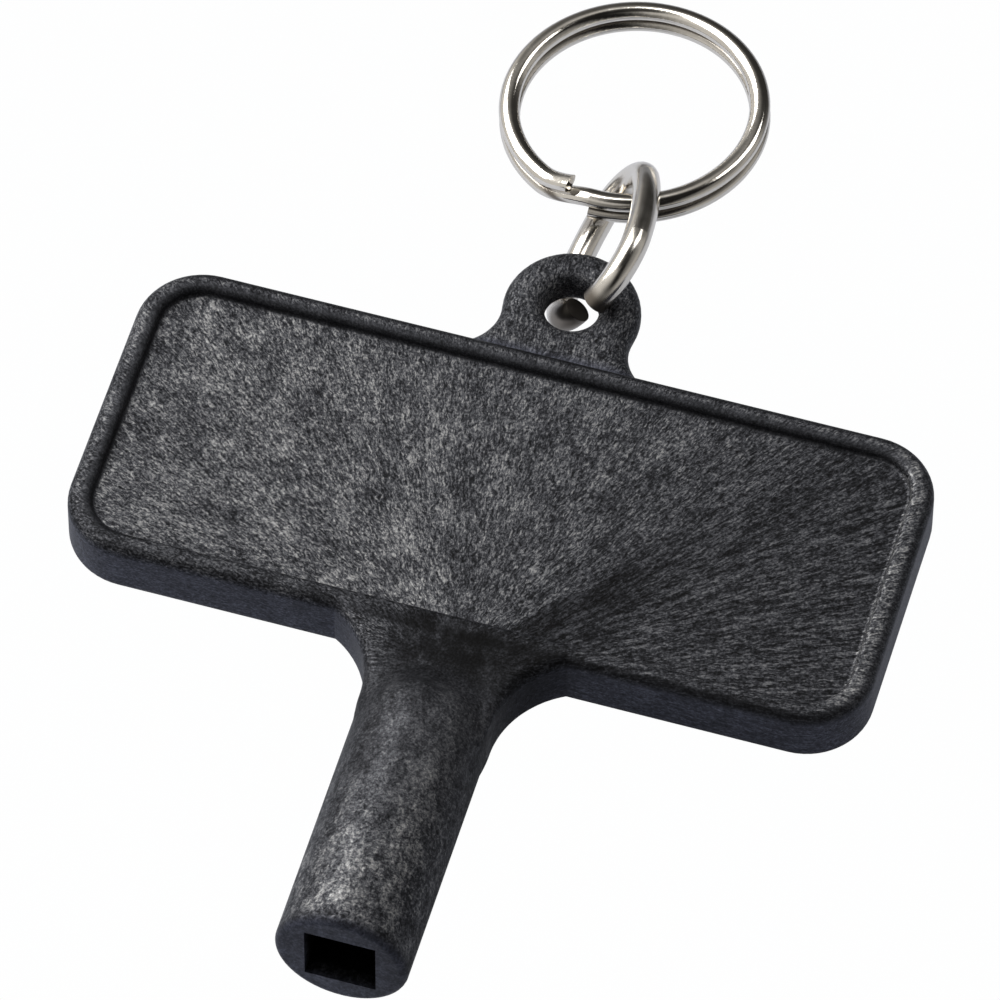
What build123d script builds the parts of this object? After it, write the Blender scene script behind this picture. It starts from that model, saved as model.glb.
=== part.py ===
"""Radiator bleed key: a moulded plastic T-handle key, its open wire link and its split key ring.

Frame: the key lies flat, +X across the handle, +Y from the socket mouth to the hanging ear,
+Z up. The origin is the centre of the square socket's mouth, on the shank's axis.
Lengths are in millimetres and angles in degrees.
"""
from build123d import *
import os
from math import asin, cos, degrees, radians, sin, sqrt

# ---- driving dimensions ----------------------------------------------------------------------
# square socket in a round shank
SOCKET_SIDE = 5.2          # across the flats, clears a 5 mm square bleed valve
SOCKET_DEPTH = 12.0
SHANK_DIA = 9.8
SHANK_LENGTH = 23.2        # the round shank stops short of the handle plate
MOUTH_ROUND = 0.6
SHANK_END_ROUND = 4.0
SHANK_ROOT_BLEND = 3.0
SHANK_FOOT_REACH = 0.5     # the shank's end meets the web within this much of its full length

# handle plate
PLATE_START = 27.0         # near long edge, measured from the socket mouth
PLATE_WIDTH = 60.0
PLATE_DEPTH = 25.6
PLATE_THICK = 5.0
PLATE_CORNER = 5.0
EDGE_ROUND = 0.9

# raised rim round a shallow panel, the same on both faces
RIM_WIDTH = 1.72
PANEL_DEPTH = 0.75
RIM_INNER_ROUND = 0.44
PANEL_FLOOR_ROUND = 0.28

# neck: a web of plate thickness that flares from the shank into the plate
NECK_START = 20.6
NECK_FLARE_RADIUS = 7.3
NECK_INSET = 0.05          # the flare starts this far inside the shank's side
NECK_TAIL_X = 3.6          # inside the shank, the web tapers to nothing
NECK_TAIL_Y = 15.0
NECK_TAIL_SLOPE = (0.3, 1)

# hanging ear with a rounded hole
EAR_CENTRE = 58.0
EAR_RADIUS = 5.1
EAR_THICK = 3.0
EAR_ROUND = 1.4
EAR_FILLET = 3.7
EAR_ROOT = 2.5             # how far the ear's slab runs into the plate
HOLE_DIA = 4.0
HOLE_LEAD = 1.2

# open pear-shaped wire link, wide end through the ear's hole
LINK_WIRE_DIA = 2.05
LINK_WIDE_RADIUS = 4.55
LINK_NARROW_RADIUS = 3.0
LINK_CENTRES = 5.75        # wide centre to narrow centre
LINK_FLANK_RADIUS = 14.8
LINK_UPPER_END = 284.0     # where each wire end stops on its own bend, from the link's +X
LINK_LOWER_RADIUS = 2.6    # the lower leg is bent in more tightly than the upper one
LINK_LOWER_START = 185.1
LINK_LOWER_END = 281.0
LINK_PLACE = (0.96, 62.44, 0.64)
LINK_LEAN = -56.3          # turn of the link's plane about its own length
LINK_DIP = -6.6
LINK_TURN = 1.65

# split ring: two turns of flattened wire, one above the other
RING_RADIUS = 9.3
RING_WIRE_WIDTH = 1.54
RING_WIRE_HEIGHT = 1.16
RING_PITCH = 1.24
RING_STEP_START = 238.0    # angles round the ring, counter-clockwise from +X
RING_STEP_END = 266.0
RING_UPPER_END = 255.5     # the upper turn's tip rides up on the step below it
RING_LOWER_END = 265.5
RING_STEP_SECTIONS = 7
RING_TIP_SECTIONS = 5
RING_PLACE = (-0.8, 77.5, -0.65)
RING_TILT_X = -2.7
RING_TILT_Y = -3.1

HALF_THICK = PLATE_THICK / 2
HALF_SHANK = SHANK_DIA / 2
PLATE_END = PLATE_START + PLATE_DEPTH
PLATE_MIDDLE = PLATE_START + PLATE_DEPTH / 2
NEAR = 0.01                # two places closer than this count as the same


# ---- key body: one moulding of plate, neck, shank and ear -------------------------------------
def arc_about(centre, radius, start, end):
    """Arc of a circle from one angle to another."""
    return CenterArc((*centre, 0), radius, start, end - start)


with BuildPart() as plate:
    with BuildSketch(Plane.XY.offset(-HALF_THICK)):
        with Locations((0, PLATE_MIDDLE)):
            RectangleRounded(PLATE_WIDTH, PLATE_DEPTH, PLATE_CORNER)
    extrude(amount=PLATE_THICK)
    fillet(plate.faces().filter_by(Axis.Z).edges(), EDGE_ROUND)
    top_face = Plane.XY.offset(HALF_THICK)
    bottom_face = Plane((0, 0, -HALF_THICK), x_dir=(-1, 0, 0), z_dir=(0, 0, -1))
    with BuildSketch(top_face, bottom_face):
        with Locations((0, PLATE_MIDDLE)):
            RectangleRounded(
                PLATE_WIDTH - 2 * RIM_WIDTH, PLATE_DEPTH - 2 * RIM_WIDTH, PLATE_CORNER - RIM_WIDTH
            )
    extrude(amount=-PANEL_DEPTH, mode=Mode.SUBTRACT)
    panel_floors = plate.faces().filter_by(Axis.Z).sort_by(SortBy.AREA)[2:]
    fillet(panel_floors.edges(), PANEL_FLOOR_ROUND)
    rim_crests = plate.faces().filter_by(Axis.Z).sort_by(SortBy.AREA)[:2]
    fillet([edge for crest in rim_crests for wire in crest.inner_wires() for edge in wire.edges()],
           RIM_INNER_ROUND)

with BuildPart() as neck:
    flare_rise = PLATE_START - NECK_START
    flare_end = 180 - degrees(asin(flare_rise / NECK_FLARE_RADIUS))
    with BuildSketch(Plane.XY.offset(-HALF_THICK)):
        with BuildLine():
            flare = arc_about((HALF_SHANK - NECK_INSET + NECK_FLARE_RADIUS, NECK_START),
                              NECK_FLARE_RADIUS, 180, flare_end)
            tail = Spline((NECK_TAIL_X, NECK_TAIL_Y), flare @ 0, tangents=[NECK_TAIL_SLOPE, (0, 1)])
            Line((0, NECK_TAIL_Y), tail @ 0)
            Polyline(flare @ 1, flare @ 1 + (0, EDGE_ROUND), (0, PLATE_START + EDGE_ROUND))
            mirror(about=Plane.YZ)
        make_face()
    extrude(amount=PLATE_THICK)
    long_edges = neck.edges().filter_by_position(Axis.Z, -HALF_THICK, -HALF_THICK)
    long_edges += neck.edges().filter_by_position(Axis.Z, HALF_THICK, HALF_THICK)
    fillet(long_edges.filter_by(GeomType.LINE, reverse=True), EDGE_ROUND)

with BuildPart() as shank:
    with BuildSketch(Plane.XZ):
        Circle(HALF_SHANK)
    extrude(amount=-SHANK_LENGTH)
    fillet(shank.faces().sort_by(Axis.Y)[-1].edges(), SHANK_END_ROUND)
    fillet(shank.faces().sort_by(Axis.Y)[0].edges(), MOUTH_ROUND)

with BuildPart() as ear:
    fillet_y = PLATE_END + EAR_FILLET
    fillet_x = sqrt((EAR_RADIUS + EAR_FILLET) ** 2 - (EAR_CENTRE - fillet_y) ** 2)
    meet_angle = degrees(asin((EAR_CENTRE - fillet_y) / (EAR_RADIUS + EAR_FILLET)))
    with BuildSketch(Plane.XY.offset(-EAR_THICK / 2)):
        with BuildLine():
            root = arc_about((fillet_x, fillet_y), EAR_FILLET, 270, 180 - meet_angle)
            crown = arc_about((0, EAR_CENTRE), EAR_RADIUS, -meet_angle, 90)
            Polyline(root @ 0, root @ 0 - (0, EAR_ROOT), (0, PLATE_END - EAR_ROOT))
            mirror(about=Plane.YZ)
        make_face()
    extrude(amount=EAR_THICK)
    rims = ear.edges().filter_by(GeomType.CIRCLE).filter_by(Plane.XY)
    fillet(rims, EAR_ROUND)

with BuildPart() as key_body:
    add([plate.part, neck.part, shank.part, ear.part])
    with Locations((0, EAR_CENTRE, 0)):
        Cylinder(HOLE_DIA / 2, EAR_THICK, mode=Mode.SUBTRACT)
    hole_edges = key_body.edges().filter_by(GeomType.CIRCLE).filter_by(
        lambda edge: abs(edge.radius - HOLE_DIA / 2) < NEAR and edge.center().Y > PLATE_END)
    fillet(hole_edges, HOLE_LEAD)
    with BuildSketch(Plane.XZ):
        Rectangle(SOCKET_SIDE, SOCKET_SIDE)
    extrude(amount=-SOCKET_DEPTH, mode=Mode.SUBTRACT)
    shank_foot = key_body.edges().filter_by(
        lambda edge: abs(abs(edge.center().Z) - HALF_THICK) < NEAR
        and abs(edge.center().Y - SHANK_LENGTH) < SHANK_FOOT_REACH)
    fillet(shank_foot, SHANK_ROOT_BLEND)
key_body.part.label = "key_body"


# ---- link: round wire bent into an open pear --------------------------------------------------
def lying_at(place, lean, dip, turn):
    """Plane of a hanging piece, turned about its length (Y), then about X, then about Z."""
    x_dir, z_dir = [
        direction.rotate(Axis.Y, lean).rotate(Axis.X, dip).rotate(Axis.Z, turn)
        for direction in (Vector(1, 0, 0), Vector(0, 0, 1))
    ]
    return Plane(place, x_dir=x_dir, z_dir=z_dir)


# each flank arc touches both end arcs from outside, so its centre is fixed by the three radii
to_wide = LINK_FLANK_RADIUS - LINK_WIDE_RADIUS
to_narrow = LINK_FLANK_RADIUS - LINK_NARROW_RADIUS
flank_y = (to_wide ** 2 - to_narrow ** 2 + LINK_CENTRES ** 2) / (2 * LINK_CENTRES)
flank_x = sqrt(to_wide ** 2 - flank_y ** 2)
wide_touch = degrees(asin(-flank_y / to_wide))
narrow_touch = degrees(asin((LINK_CENTRES - flank_y) / to_narrow))

lower_reach = LINK_FLANK_RADIUS - LINK_LOWER_RADIUS
lower_x = flank_x + lower_reach * cos(radians(LINK_LOWER_START))
lower_y = flank_y + lower_reach * sin(radians(LINK_LOWER_START))

with BuildPart() as link:
    with BuildLine(lying_at(LINK_PLACE, LINK_LEAN, LINK_DIP, LINK_TURN)) as link_path:
        arc_about((0, 0), LINK_WIDE_RADIUS, LINK_UPPER_END - 360, wide_touch)
        arc_about((-flank_x, flank_y), LINK_FLANK_RADIUS, wide_touch, narrow_touch)
        arc_about((0, LINK_CENTRES), LINK_NARROW_RADIUS, narrow_touch, 180 - narrow_touch)
        arc_about((flank_x, flank_y), LINK_FLANK_RADIUS, 180 - narrow_touch, LINK_LOWER_START)
        arc_about((lower_x, lower_y), LINK_LOWER_RADIUS, LINK_LOWER_START, LINK_LOWER_END)
    with BuildSketch(Plane(link_path.line @ 0, z_dir=link_path.line % 0)):
        Circle(LINK_WIRE_DIA / 2)
    sweep(path=link_path.wires()[0])
link.part.label = "link"


# ---- split ring: an upper turn, a lower turn and the step that joins them ---------------------
ring_frame = lying_at(RING_PLACE, RING_TILT_Y, RING_TILT_X, 0)
ring_axis = Axis(RING_PLACE, ring_frame.z_dir)
half_pitch = RING_PITCH / 2


def wire_section(angle, height):
    """Cross-section of the ring's wire at an angle round the ring."""
    out_x, out_y = cos(radians(angle)), sin(radians(angle))
    across = Plane(
        (RING_RADIUS * out_x, RING_RADIUS * out_y, height), x_dir=(out_x, out_y, 0), z_dir=(out_y, -out_x, 0)
    )
    with BuildSketch(Plane(ring_frame * across)) as section:
        Ellipse(RING_WIRE_WIDTH / 2, RING_WIRE_HEIGHT / 2)
    return section.sketch


def climbing_sections(start_height, end_angle, count):
    """Sections of a turn that climbs the step, from the step's start to an angle."""
    sections = []
    for number in range(count):
        angle = RING_STEP_START + (end_angle - RING_STEP_START) * number / (count - 1)
        share = (angle - RING_STEP_START) / (RING_STEP_END - RING_STEP_START)
        climb = RING_PITCH * (3 * share ** 2 - 2 * share ** 3)
        sections.append(wire_section(angle, start_height + climb))
    return sections


with BuildPart() as split_ring:
    upper_turn = 360 - (RING_STEP_END - RING_STEP_START)
    lower_turn = 360 - (RING_LOWER_END - RING_STEP_START)
    revolve(wire_section(RING_STEP_START, half_pitch), axis=ring_axis, revolution_arc=-upper_turn)
    revolve(wire_section(RING_STEP_START, -half_pitch), axis=ring_axis, revolution_arc=-lower_turn)
    loft(climbing_sections(-half_pitch, RING_STEP_END, RING_STEP_SECTIONS))
    loft(climbing_sections(half_pitch, RING_UPPER_END, RING_TIP_SECTIONS))
split_ring.part.label = "split_ring"

os.makedirs("parts", exist_ok=True)
export_step(key_body.part, "parts/key_body.step")
export_step(link.part, "parts/link.step")
export_step(split_ring.part, "parts/split_ring.step")
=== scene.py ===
"""Radiator bleed key: the looks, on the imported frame.

Metres, +Z up. The key lies flat over a white sheet, its shank towards -Y and its rings towards +Y.
Materials work in millimetres of the same frame, because a CAD node's object sits at the origin.
"""

from math import cos, e, pi, radians, sin

import bpy
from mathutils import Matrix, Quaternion, Vector


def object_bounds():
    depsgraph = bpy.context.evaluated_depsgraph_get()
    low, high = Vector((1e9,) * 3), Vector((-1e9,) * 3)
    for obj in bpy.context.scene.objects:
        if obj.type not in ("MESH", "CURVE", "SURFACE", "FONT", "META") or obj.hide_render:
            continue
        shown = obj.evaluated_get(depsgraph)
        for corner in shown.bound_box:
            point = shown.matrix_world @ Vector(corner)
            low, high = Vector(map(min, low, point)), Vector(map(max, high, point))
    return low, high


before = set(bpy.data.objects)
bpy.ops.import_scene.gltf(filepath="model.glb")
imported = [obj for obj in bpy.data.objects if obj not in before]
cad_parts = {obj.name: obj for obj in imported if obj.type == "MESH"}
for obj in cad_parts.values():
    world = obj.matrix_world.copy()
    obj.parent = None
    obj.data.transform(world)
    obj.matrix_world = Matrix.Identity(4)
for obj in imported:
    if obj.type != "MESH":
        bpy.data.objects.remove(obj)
CAD_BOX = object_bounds()
BOX_LOW, BOX_HIGH = (Vector(corner) for corner in CAD_BOX)
CENTRE = (BOX_LOW + BOX_HIGH) / 2


# ---- camera -------------------------------------------------------------------------------------
CAMERA_AZIMUTH = 16.008       # degrees round +Z, from -Y towards +X
CAMERA_ELEVATION = 55.594
CAMERA_ROLL = 0.555
CAMERA_DISTANCE = 0.73694
CAMERA_LENS = 367.73          # mm
CAMERA_SENSOR = 36.0
AIM = Vector((CENTRE.x - 0.00035, CENTRE.y - 0.00306, 0.0))   # the photo's middle, beside the key's


def direction(azimuth, elevation):
    """Unit vector towards a place round the object, from -Y towards +X, and up."""
    azimuth, elevation = radians(azimuth), radians(elevation)
    return Vector((sin(azimuth) * cos(elevation), -cos(azimuth) * cos(elevation), sin(elevation)))


def make_camera():
    outwards = direction(CAMERA_AZIMUTH, CAMERA_ELEVATION)
    data = bpy.data.cameras.new("camera")
    data.lens = CAMERA_LENS
    data.sensor_width = CAMERA_SENSOR
    data.clip_start = 0.01
    camera = bpy.data.objects.new("camera", data)
    camera.location = AIM + outwards * CAMERA_DISTANCE
    camera.rotation_mode = "QUATERNION"
    roll = Quaternion((0, 0, 1), radians(CAMERA_ROLL))
    camera.rotation_quaternion = (-outwards).to_track_quat("-Z", "Y") @ roll
    bpy.context.collection.objects.link(camera)
    bpy.context.scene.camera = camera


# ---- small helpers for shader nodes --------------------------------------------------------------
class Shader:
    """A material's or the world's node tree, with short calls that return output sockets."""

    def __init__(self, tree):
        self.tree = tree
        self.tree.nodes.clear()

    def node(self, kind, inputs=(), **settings):
        made = self.tree.nodes.new("ShaderNode" + kind)
        for name, value in settings.items():
            setattr(made, name, value)
        for name, value in dict(inputs).items():
            self.put(made.inputs[name], value)
        return made

    def put(self, socket, value):
        if isinstance(value, bpy.types.NodeSocket):
            self.tree.links.new(value, socket)
        elif value is not None:
            grey = socket.type == "RGBA" and isinstance(value, float)
            socket.default_value = (value, value, value, 1) if grey else value

    def maths(self, operation, *values, clamp=False):
        made = self.node("Math", operation=operation, use_clamp=clamp)
        for socket, value in zip(made.inputs, values):
            self.put(socket, value)
        return made.outputs[0]

    def size(self, value):
        return self.maths("ABSOLUTE", value)

    def product(self, first, *others):
        for value in others:
            first = self.maths("MULTIPLY", first, value)
        return first

    def without(self, share):
        return self.maths("SUBTRACT", 1.0, share)

    def change(self, value, share, amount):
        """The value as it is where share is 0, and 1 + amount times as much where share is 1."""
        return self.maths("MULTIPLY", value, self.maths("MULTIPLY_ADD", share, amount, 1.0))

    def remap(self, value, band, start=0.0, end=1.0, smooth=False):
        """Start below the band (low, high) of the value and end above it, in a straight line between."""
        made = self.node("MapRange", {"Value": value, "From Min": band[0], "From Max": band[1],
                                      "To Min": start, "To Max": end})
        made.interpolation_type = "SMOOTHSTEP" if smooth else "LINEAR"
        return made.outputs[0]

    def step(self, value, band, start=0.0, end=1.0):
        """The same with a smooth curve between."""
        return self.remap(value, band, start, end, smooth=True)

    def blend(self, share, first, second, kind="MIX"):
        made = self.node("Mix", data_type="RGBA", blend_type=kind)
        for socket, value in zip((made.inputs[0], made.inputs[6], made.inputs[7]), (share, first, second)):
            self.put(socket, value)
        return made.outputs[2]

    def ramp(self, value, stops):
        """Grey levels from (place, level) stops, with straight lines between them."""
        made = self.node("ValToRGB", {"Fac": value})
        elements = made.color_ramp.elements
        elements[0].position, elements[1].position = stops[0][0], stops[-1][0]
        for place, _ in stops[1:-1]:
            elements.new(place)
        for element, (_, level) in zip(elements, stops):
            element.color = (level, level, level, 1)
        return made.outputs[0]

    def noise(self, vector, scale, detail, roughness=0.5, distortion=0.0):
        made = self.node("TexNoise", {"Vector": vector, "Scale": scale, "Detail": detail,
                                      "Roughness": roughness, "Distortion": distortion})
        return made.outputs

    def ripple(self, *settings):
        """Noise that goes up and down about zero."""
        return self.maths("SUBTRACT", self.noise(*settings)["Fac"], 0.5)

    def vector(self, x, y, z):
        return self.node("CombineXYZ", {"X": x, "Y": y, "Z": z}).outputs[0]

    def vectors(self, operation, first, second=None):
        """Vector maths: one number for a length, a distance or a dot product, else a vector."""
        made = self.node("VectorMath", {0: first, 1: second}, operation=operation)
        return made.outputs["Value" if operation in ("LENGTH", "DISTANCE", "DOT_PRODUCT") else "Vector"]

    def split(self, vector):
        return tuple(self.node("SeparateXYZ", {"Vector": vector}).outputs)

    def millimetres(self):
        """Place on the object in millimetres, as a vector and as its three parts."""
        place = self.vectors("MULTIPLY", self.node("TexCoord").outputs["Object"], (1000.0, 1000.0, 1000.0))
        return place, *self.split(place)


def new_material(name):
    material = bpy.data.materials.new(name)
    material.use_nodes = True
    return material, Shader(material.node_tree)


# ---- filled black plastic: pale strands that fan out from the moulding gate ----------------------
GATE = (1.0, 24.0)                 # mm, in the neck, where the plastic flowed in
GATE_REACH = 0.3                   # mm, nearer than this the fan stops narrowing
FAN_REACHES = (2, 4, 8, 16, 32)    # mm from the gate, one noise for each doubling
STRAND = (0.12, 3.5, 3.0, 3.0)     # width in mm, length in widths, noise shift, noise detail
STREAK = (0.34, 10.0, 71.0, 2.0)
FAN_START = (0.9, 1.9)             # log of mm from the gate, from faint strands to full ones
RIGHT_SIDE = (0.6, 1.35)           # radians at the gate from +X, where the fan's right side ends

# painted sheen: brightness of the strands against the direction they point in, degrees from +X towards +Y
FAN_LIGHT = ((-180, 0.80), (-70, 0.80), (-10, 0.42), (18, 0.42), (48, 0.36), (58, 0.50), (72, 0.66),
             (100, 0.72), (132, 1.0), (150, 0.92), (180, 0.80))
PLATE_LIGHT = 0.69                 # the same for the whole fan, against the shank
WEDGE_TIP = (3.6, 28.9)            # mm, where a dark wedge of painted shade starts
WEDGE_TURN = radians(51.5)         # the way its sharp left side runs
FILLER = ((0.12, 0.010), (0.34, 0.035), (0.5, 0.095), (0.66, 0.22), (0.88, 0.5))   # tone to paleness
PALE_FILLER = (1.0, 1.01, 1.03, 1)       # tint of the brightest filler
BARE_AND_SHADE_BLUE = (0.93, 0.975, 1.15, 1)      # tint where little filler shows and where painted shade falls: blue
PLAIN_FACE_SHADE_BLUE = (0.86, 0.925, 1.26, 1)     # the same, bluer, on the plate's sides and on the face round the socket

# noises other than the fan's own: grains to a mm, detail, roughness, distortion
BEND = (1.5, 2.0, 0.55)            # bends the strands
GRAIN = (5.5, 2.0, 0.6)
CURLS = (3.8, 5.0, 0.68, 0.6)
SMEARS = (1.1, 3.0, 0.6, 0.8)
SMEAR_STRETCH = (1.0, 0.55, 1.0)   # they run along the shank
PATCHES = (0.42, 4.0, 0.6)
DRIFT = (0.11, 2.0, 0.5)

SOCKET_HALF = 2.62                 # mm, from the middle to just past the socket's walls
SOCKET_END = 13.0                  # mm of y, just past its floor
PANEL_HALF = (28.28, 11.08)        # mm, the recessed panel inside the rim
PANEL_CORNER = 3.28
PANEL_Y = 39.8

# bands, in mm, over which one look gives way to the next
MOUTH_Y = (0.05, 0.75)             # from the flat face round the socket to the shank
LIP_Y = (0.6, 1.5)                 # from the painted shade on the rounded edge of that face to the shank
SHANK_CURLS_Y = (7.0, 17.0)        # from the shank's end to its upper half
PLATE_Y = (20.0, 26.0)             # from the shank to the plate
NECK_Y = ((20.0, 25.0), (27.0, 30.0))    # the neck's start and end
NEAR_RIM_Y = (28.7, 29.8)          # from the rim on the shank's side to the rest of it
FAR_RIM_Y = (51.7, 52.6)           # from the far rim's crest to the plate's far edge
PLATE_END_Y = (52.7, 53.6)         # from the plate's sides to the ear's
EAR_Y = (52.8, 55.0)               # from the plate's face to the ear's
RIM_OUT = ((-0.34, -0.08), (1.7, 2.3))   # the rim's start and end, from the panel's outline
FACE_Z = (1.3, 1.8)                # from the plate's thickness to its two faces
SIDE_Z = (1.5, 2.3)                # the same, for the plate's sides


def fan_coordinates(shader, x, y, z):
    """Log of the distance from the gate, the same in doublings, the angle and the height."""
    across = shader.maths("SUBTRACT", x, GATE[0])
    along = shader.maths("SUBTRACT", y, GATE[1])
    squares = shader.maths("MULTIPLY_ADD", across, across, shader.maths("MULTIPLY", along, along))
    reach = shader.maths("MAXIMUM", shader.maths("SQRT", squares), GATE_REACH)
    log_reach, octave = shader.maths("LOGARITHM", reach, e), shader.maths("LOGARITHM", reach, 2.0)
    return log_reach, octave, shader.maths("ARCTAN2", along, across), z


def fan_noise(shader, fan, width, aspect, shift, detail):
    """Noise whose grains are `width` mm wide, `aspect` times as long and point away from the gate."""
    log_reach, octave, angle, height = fan
    total = squares = 0.0
    for count, reach in enumerate(FAN_REACHES, 1):
        grains = reach / width
        place = shader.vector(
            shader.maths("MULTIPLY", log_reach, grains / aspect),
            shader.maths("MULTIPLY", angle, grains),
            shader.maths("MULTIPLY_ADD", height, 1 / width, shift + reach),
        )
        off = shader.maths("SUBTRACT", octave, count)
        if reach == FAN_REACHES[0]:
            off = shader.maths("MAXIMUM", off, 0.0)
        if reach == FAN_REACHES[-1]:
            off = shader.maths("MINIMUM", off, 0.0)
        weight = shader.maths("SUBTRACT", 1.0, shader.size(off), clamp=True)
        total = shader.maths("MULTIPLY_ADD", shader.ripple(place, 1.0, detail, 0.6), weight, total)
        squares = shader.maths("MULTIPLY_ADD", weight, weight, squares)
    return shader.maths("DIVIDE", total, shader.maths("SQRT", squares))


def bent_fan(shader, place, x, y, z, right_side):
    """Fan coordinates that wander a little, so that the strands curl; less so on the right."""
    bend = shader.split(shader.noise(place, *BEND)["Color"])
    swing = shader.maths("MULTIPLY_ADD", right_side, -0.25, 0.52)   # mm
    bent_x, bent_y = (
        shader.maths("MULTIPLY_ADD", shader.maths("SUBTRACT", part, 0.5), swing, straight)
        for part, straight in ((bend[0], x), (bend[1], y)))
    return fan_coordinates(shader, bent_x, bent_y, z)


def rim_zones(shader, x, y, z):
    """Millimetres outside the panel's outline, and shares of the rim and of its two slopes in painted shade.
    """
    over_x = shader.maths("SUBTRACT", shader.size(x), PANEL_HALF[0] - PANEL_CORNER)
    over_y = shader.maths("SUBTRACT", shader.size(shader.maths("SUBTRACT", y, PANEL_Y)),
                          PANEL_HALF[1] - PANEL_CORNER)
    corner = shader.vector(shader.maths("MAXIMUM", over_x, 0.0), shader.maths("MAXIMUM", over_y, 0.0), 0.0)
    outside = shader.maths("SUBTRACT", shader.vectors("LENGTH", corner), PANEL_CORNER)
    rim = shader.product(shader.step(outside, RIM_OUT[0]), shader.step(outside, RIM_OUT[1], 1.0, 0.0),
                         shader.step(shader.size(z), FACE_Z))
    # painted shade on the slope that faces out: it darkens from left to right, and is dark at the far side
    outer_slope_shade = shader.product(rim, shader.step(outside, (0.85, 1.35)), shader.maths(
        "MAXIMUM", shader.step(x, (-26.0, 26.0)), shader.step(y, (50.5, 52.0))))
    # painted shade on the slope that faces in: it is dark on the left and at the far side
    inner_slope_shade = shader.product(rim, shader.step(outside, (0.35, 0.9), 1.0, 0.0), shader.maths(
        "MAXIMUM", shader.step(x, (-27.0, -24.0), 1.0, 0.0), shader.step(y, (49.5, 51.0))))
    return outside, rim, outer_slope_shade, inner_slope_shade


def neck_painted_shade(shader, x, near_y, drift, smears, patches):
    """Share of the painted shade in the neck, which thins out to both sides and in hazy smears."""
    blurred_x = shader.size(shader.maths("MULTIPLY_ADD", drift, 8.0, x))
    return shader.product(
        shader.step(near_y, NECK_Y[0]),
        shader.step(near_y, NECK_Y[1], 1.0, 0.0),
        shader.step(blurred_x, (6.0, 11.0), 1.0, 0.15),
        shader.step(x, (-7.0, -1.5), 0.2, 1.0),
        shader.step(x, (2.0, 6.0), 1.0, 0.78),
        shader.step(shader.maths("ADD", smears, patches), (0.0, 0.22), 1.0, 0.72))


def wedge_painted_shade(shader, x, y, wander):
    """Brightness left by the painted shade of a dark wedge to the right of the neck, where the strands catch
    no sheen.
    """
    ahead, aside = cos(WEDGE_TURN), sin(WEDGE_TURN)
    from_x = shader.maths("SUBTRACT", x, WEDGE_TIP[0])
    from_y = shader.maths("SUBTRACT", y, WEDGE_TIP[1])
    along = shader.maths("MULTIPLY_ADD", from_x, ahead, shader.maths("MULTIPLY", from_y, aside))
    across = shader.maths("MULTIPLY_ADD", from_x, aside, shader.maths("MULTIPLY", from_y, -ahead))
    across = shader.maths("ADD", across, wander)
    sides = shader.product(shader.step(across, (-0.25, 0.35)), shader.step(across, (0.3, 6.5), 1.0, 0.0))
    ends = shader.product(shader.step(along, (-0.6, 0.8)), shader.step(along, (7.0, 19.0), 1.0, 0.0))
    return shader.change(1.0, shader.product(sides, ends), -0.7)


def plate_light(shader, x, y, rim, outer_slope_shade, inner_slope_shade, wedge_shade, turn):
    """Painted light and shade on the filler of the plate and the ear: the fan's painted sheen, or on the rim
    the rim's own, a little darker on the ear.
    """
    light = shader.ramp(turn, [((angle + 180) / 360, level) for angle, level in FAN_LIGHT])
    light = shader.product(light, wedge_shade, PLATE_LIGHT)
    # painted light and shade on the rim: brighter at the right end, darker near the shank, darkest along the
    # far crest
    rim_light = shader.product(
        shader.step(x, (22.0, 29.0), 0.49, 0.70),
        shader.step(y, NEAR_RIM_Y, 0.66, 1.0),
        shader.step(y, FAR_RIM_Y, 1.0, 0.3))
    rim_light = shader.change(rim_light, outer_slope_shade, -0.55)
    rim_light = shader.change(rim_light, inner_slope_shade, -0.45)
    light = shader.blend(rim, light, rim_light)
    return shader.product(light, shader.step(y, EAR_Y, 1.0, 0.88))


def shank_light(shader, x, y, near_y, drift, mouth):
    """Painted light and shade on the shank's filler: brightest at the mouth's end, on the left, darker to the
    right, and painted shade over the face round the socket and its rounded edge, a little less on the face
    itself.
    """
    left = shader.step(near_y, (3.0, 10.5), 0.90, 0.42)
    right = shader.product(shader.step(near_y, (3.0, 12.0), 0.78, 0.62),
                           shader.step(x, (2.4, 4.4), 1.0, 0.72))
    light = shader.blend(shader.step(x, (0.0, 2.6)), left, right)
    light = shader.product(light, shader.step(drift, (-0.16, 0.2), 0.8, 1.15),
                           shader.step(y, LIP_Y, 0.5, 1.0))
    return shader.change(light, mouth, 0.15)


def socket_share(shader, x, y, z):
    """Share of the socket's inside, where no light reaches the filler."""
    within = shader.maths("LESS_THAN", shader.maths("MAXIMUM", shader.size(x), shader.size(z)), SOCKET_HALF)
    return shader.product(within, shader.maths("LESS_THAN", y, SOCKET_END),
                          shader.remap(y, (0.1, 1.2), 0.3, 1.0))


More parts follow.
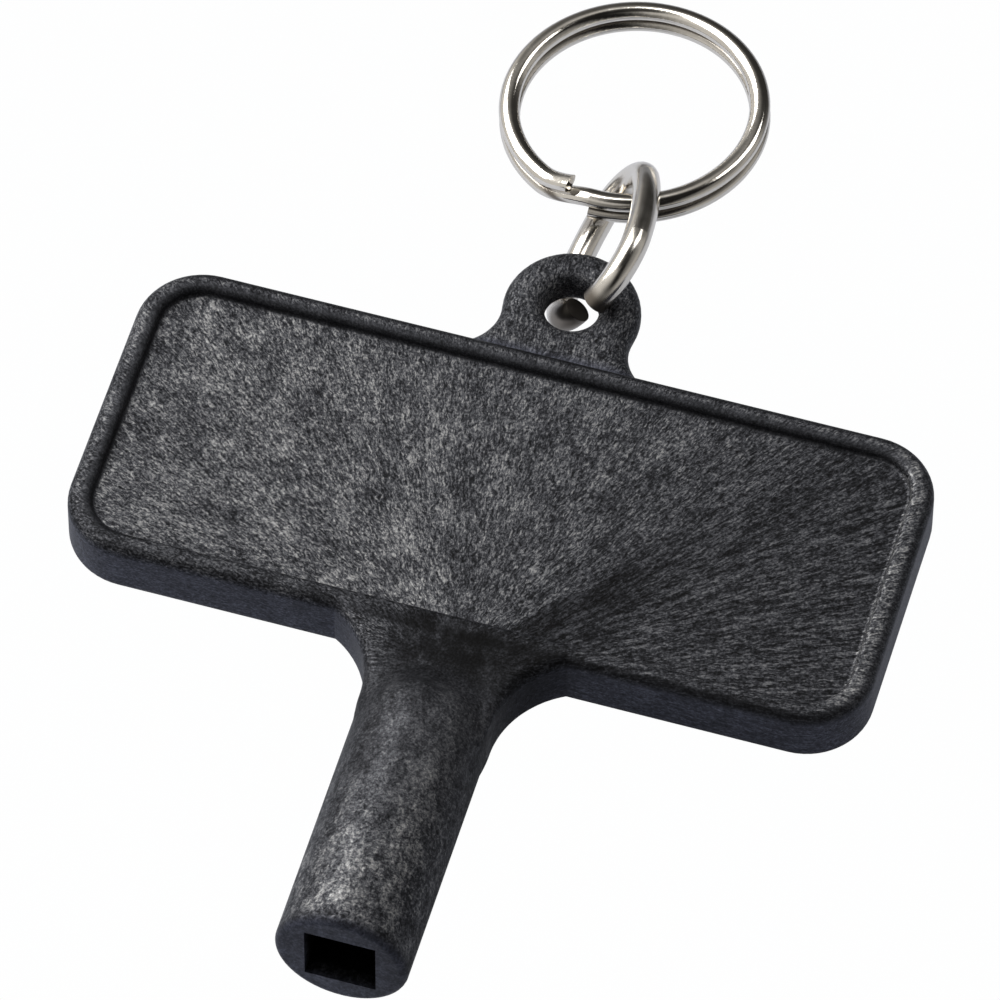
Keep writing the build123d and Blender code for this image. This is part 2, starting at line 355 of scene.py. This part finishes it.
def make_plastic():
    """Black plastic with a pale mineral filler: `tone` is the filler's texture and `light` its painted light
    and shade.
    """
    material, shader = new_material("black_filled_plastic")
    place, x, y, z = shader.millimetres()
    angle = fan_coordinates(shader, x, y, z)[2]
    right_side = shader.step(angle, RIGHT_SIDE, 1.0, 0.0)
    fan = bent_fan(shader, place, x, y, z, right_side)

    # noises from the finest to the slowest
    strands = fan_noise(shader, fan, *STRAND)
    streaks = fan_noise(shader, fan, *STREAK)
    grain = shader.ripple(place, *GRAIN)
    curls = shader.ripple(place, *CURLS)
    smears = shader.ripple(shader.vectors("MULTIPLY", place, SMEAR_STRETCH), *SMEARS)
    patches = shader.ripple(place, *PATCHES)
    drift = shader.ripple(place, *DRIFT)

    # the fan lives on the plate, and the shank has short curls instead
    outside, rim, outer_slope_shade, inner_slope_shade = rim_zones(shader, x, y, z)
    near_y = shader.maths("MULTIPLY_ADD", patches, 4.0, y)
    plate = shader.step(near_y, PLATE_Y)
    curled = shader.product(shader.without(plate), shader.step(near_y, SHANK_CURLS_Y, 1.0, 0.62))
    fanned = shader.product(shader.change(plate, rim, -0.1), shader.step(fan[0], FAN_START, 0.1, 1.0))

    # faces that point towards the socket's mouth, or lie in the plate's thickness, are nearly plain
    upright = shader.product(
        shader.step(shader.size(z), SIDE_Z, 1.0, 0.0), shader.step(outside, (1.0, 1.6)),
        shader.product(plate, shader.remap(y, PLATE_END_Y, 1.0, 0.0)))
    mouth = shader.step(y, MOUTH_Y, 1.0, 0.0)
    plain = shader.maths("MAXIMUM", upright, mouth)

    tone = shader.product(grain, shader.remap(plate, (0.0, 1.0), 0.5, 0.85))
    for texture, share, depth in (
        (strands, fanned, 1.5),
        (streaks, fanned, shader.maths("MULTIPLY_ADD", right_side, 0.6, 0.3)),
        (curls, curled, 1.35),
        (smears, curled, 0.9),
    ):
        tone = shader.maths("MULTIPLY_ADD", shader.product(texture, share), depth, tone)
    tone = shader.maths("MULTIPLY_ADD", patches, shader.maths("MULTIPLY_ADD", right_side, -0.4, 0.55), tone)
    # the filler's texture fades on the plain faces and in the rim's painted shade
    for share, amount in ((plain, -0.6), (outer_slope_shade, -0.45), (inner_slope_shade, -0.55)):
        tone = shader.change(tone, share, amount)
    tone = shader.maths("ADD", tone, 0.5)

    wander = shader.product(shader.maths("ADD", patches, drift), 2.6)
    turn = shader.remap(shader.maths("MULTIPLY_ADD", patches, 0.25, fan[2]), (-pi, pi))
    light = plate_light(shader, x, y, rim, outer_slope_shade, inner_slope_shade, wedge_painted_shade(shader, x, y, wander), turn)
    # painted light and shade: the plate's sides get one even brightness
    light = shader.blend(upright, light, 0.55)
    light = shader.blend(plate, shank_light(shader, x, y, near_y, drift, mouth), light)
    # painted shade over the neck, and in the socket where no light reaches
    light = shader.change(light, neck_painted_shade(shader, x, near_y, drift, smears, patches), -0.89)
    light = shader.change(light, socket_share(shader, x, y, z), -0.97)

    # bright filler is neutral, while bare dark plastic and painted shade are blue; half metal gives the
    # filler its soft forward gloss
    pale = shader.product(shader.ramp(tone, FILLER), light)
    neutral = shader.change(shader.remap(pale, (0.015, 0.18)), plain, -0.85)
    tint = shader.blend(neutral, shader.blend(plain, BARE_AND_SHADE_BLUE, PLAIN_FACE_SHADE_BLUE), PALE_FILLER)
    bump = shader.node("Bump", {"Strength": 0.45, "Distance": 0.00006, "Height": tone})
    surface = shader.node("BsdfPrincipled", {
        "Base Color": shader.blend(1.0, pale, tint, "MULTIPLY"),
        "Roughness": shader.remap(tone, (0.2, 0.8), 0.56, 0.44), "Normal": bump.outputs[0],
        "Metallic": 0.5, "IOR": 1.49, "Specular IOR Level": 0.12,
    })
    shader.node("OutputMaterial", {"Surface": surface.outputs[0]})
    return material


# ---- bright nickel plate with brown grime and painted shade --------------------------------------
DULL_NICKEL, BRIGHT_NICKEL = (0.70, 0.665, 0.61, 1), (0.83, 0.80, 0.75, 1)
CLOUDS = (0.9, 3.0, 0.6)           # noises, as above: dull and bright patches
DRAWN_SKIN = (7.0, 3.0, 0.6)       # and the wire's fine unevenness
# grime and painted shade darken the nickel round the link's ends in the ear and in the ring's gap
MOST_GRIME_AND_SHADE = 0.85                       # the most of it, as a share
GRIME_AND_SHADE_COLOUR = (0.12, 0.10, 0.08, 1)
LINK_GRIME_AND_SHADE = (((1.69, 58.18, 2.06), (1.12, 1.75)), ((-0.1, 58.4, -0.6), (1.6, 2.8)))   # mm: place, reach
RING_PLACE = (-0.8, 77.5, -0.65)   # mm, the middle of the split ring, and the way it faces
RING_NORMAL = (-0.054, 0.047, 0.997)
RING_GAP = (0.05, 0.36)            # mm from the gap between its two turns


def link_grime_and_shade(shader, place):
    """Grime and painted shade round the link's two ends, in the ear."""
    grime_and_shade = 0.0
    for spot, band in LINK_GRIME_AND_SHADE:
        reach = shader.vectors("DISTANCE", place, spot)
        grime_and_shade = shader.maths("MAXIMUM", shader.step(reach, band, MOST_GRIME_AND_SHADE, 0.0), grime_and_shade)
    return grime_and_shade


def ring_grime_and_shade(shader, place):
    """Grime and painted shade in the gap between the split ring's two turns."""
    height = shader.vectors("DOT_PRODUCT", shader.vectors("SUBTRACT", place, RING_PLACE), RING_NORMAL)
    return shader.step(shader.size(height), RING_GAP, MOST_GRIME_AND_SHADE, 0.0)


def make_nickel(name, roughness, find_grime_and_shade):
    material, shader = new_material(name)
    place = shader.millimetres()[0]
    cloud = shader.noise(place, *CLOUDS)["Fac"]
    drawn = shader.noise(place, *DRAWN_SKIN)["Fac"]
    grime_and_shade = find_grime_and_shade(shader, place)
    tint = shader.blend(cloud, DULL_NICKEL, BRIGHT_NICKEL)
    rough = shader.remap(cloud, (0.3, 0.7), *roughness)
    bump = shader.node("Bump", {"Strength": 0.12, "Distance": 0.00003, "Height": drawn})
    surface = shader.node("BsdfPrincipled", {
        "Base Color": shader.blend(grime_and_shade, tint, GRIME_AND_SHADE_COLOUR), "Metallic": 1.0,
        "Roughness": shader.maths("MULTIPLY_ADD", grime_and_shade, 0.2, rough), "Normal": bump.outputs[0],
    })
    shader.node("OutputMaterial", {"Surface": surface.outputs[0]})
    return material


def dress(node, material):
    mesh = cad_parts[node].data
    mesh.materials.clear()
    mesh.materials.append(material)


# ---- sheet, sky and lamps --------------------------------------------------------------------------
SHEET_HALF = 1.5
RING_DROP = 0.020                  # room under the key, for the ring to hang down into
LAMP_DISTANCE = 0.8
WHITE = (1, 1, 1, 1)


def seen_or_lit(shader, lit, seen):
    """One shader for the camera's own view and another for the light that the key gets."""
    mixed = shader.node("MixShader")
    values = (shader.node("LightPath").outputs["Is Camera Ray"], lit.outputs[0], seen.outputs[0])
    for socket, value in zip(mixed.inputs, values):
        shader.put(socket, value)
    return mixed.outputs[0]


def make_table():
    """A white sheet under the key: bright to look at, and a soft grey to the key and its reflections."""
    mesh = bpy.data.meshes.new("table")
    corners = [(CENTRE.x + i * SHEET_HALF, CENTRE.y + j * SHEET_HALF, BOX_LOW.z - RING_DROP)
               for i, j in ((-1, -1), (1, -1), (1, 1), (-1, 1))]
    mesh.from_pydata(corners, [], [(0, 1, 2, 3)])
    table = bpy.data.objects.new("table", mesh)
    bpy.context.collection.objects.link(table)
    material, shader = new_material("table_white")
    place, x, y, _ = shader.millimetres()
    # painted shade on the sheet, seen only by the key and its reflections: a little darker to the right, much
    # darker far behind
    sheet = shader.product(shader.step(x, (-60.0, 60.0), 0.72, 0.66),
                           shader.step(y, (100.0, 175.0), 1.0, 0.36))
    grey = shader.node("BsdfPrincipled", {
        "Base Color": shader.blend(1.0, sheet, (0.86, 0.90, 1.0, 1), "MULTIPLY"), "Roughness": 0.9,
    })
    cloud = shader.noise(place, 0.004, 2.0)["Fac"]
    white = shader.node("Emission", {"Color": shader.blend(cloud, (0.985, 0.988, 0.99, 1), WHITE),
                                     "Strength": 1.0})
    shader.node("OutputMaterial", {"Surface": seen_or_lit(shader, grey, white)})
    mesh.materials.append(material)


def make_sky():
    """White to look at; to the key it is a grey room, pale on the left, dark overhead and front right."""
    world = bpy.data.worlds.new("studio")
    world.use_nodes = True
    bpy.context.scene.world = world
    shader = Shader(world.node_tree)
    x, y, z = shader.split(shader.node("TexCoord").outputs["Generated"])
    glow = shader.maths("ADD", shader.step(x, (-0.78, 0.05), 0.66, 0.15),
                        shader.step(x, (0.40, 0.85), 0.0, 0.28))
    lift = shader.product(shader.step(z, (0.6, 0.85)), shader.without(shader.step(x, (-0.1, 0.15))))
    front_right = shader.product(
        shader.step(x, (-0.05, 0.3)), shader.step(z, (0.25, 0.55)),
        shader.without(shader.step(y, (0.15, 0.4))), shader.step(x, (0.45, 0.7), 1.0, 0.5))
    overhead = shader.product(shader.step(z, (0.90, 0.97)), shader.step(x, (-0.35, -0.15)))
    behind = shader.product(shader.step(y, (0.45, 0.78)), shader.step(x, (-0.80, -0.45)), 0.85)
    dark = shader.maths("MAXIMUM", shader.maths("MAXIMUM", front_right, overhead), behind)
    glow = shader.change(shader.maths("MULTIPLY_ADD", lift, 0.3, glow), dark, -0.92)
    room = shader.node("Background", {"Color": (1.0, 0.97, 0.92, 1), "Strength": glow})
    pale = shader.node("Background", {"Color": WHITE, "Strength": 1.0})
    shader.node("OutputWorld", {"Surface": seen_or_lit(shader, room, pale)})


def make_lamp(name, azimuth, elevation, size, watts, colour):
    data = bpy.data.lights.new(name, "AREA")
    data.shape = "RECTANGLE"
    data.size, data.size_y = size
    data.energy = watts
    data.color = colour
    lamp = bpy.data.objects.new(name, data)
    outwards = direction(azimuth, elevation)
    lamp.location = CENTRE + outwards * LAMP_DISTANCE
    lamp.rotation_euler = (-outwards).to_track_quat("-Z", "Y").to_euler()
    bpy.context.collection.objects.link(lamp)


make_camera()
make_table()
make_sky()
make_lamp("left_softbox", azimuth=-114, elevation=48, size=(0.66, 0.60), watts=6.6, colour=(1.0, 0.985, 0.96))
make_lamp("right_softbox", azimuth=144, elevation=51, size=(0.26, 0.38), watts=1.05, colour=(1.0, 0.98, 0.95))

dress("key_body", make_plastic())
dress("link", make_nickel("nickel_link", roughness=(0.12, 0.22), find_grime_and_shade=link_grime_and_shade))
dress("split_ring", make_nickel("nickel_ring", roughness=(0.06, 0.13), find_grime_and_shade=ring_grime_and_shade))
bpy.context.scene.view_settings.view_transform = "Standard"
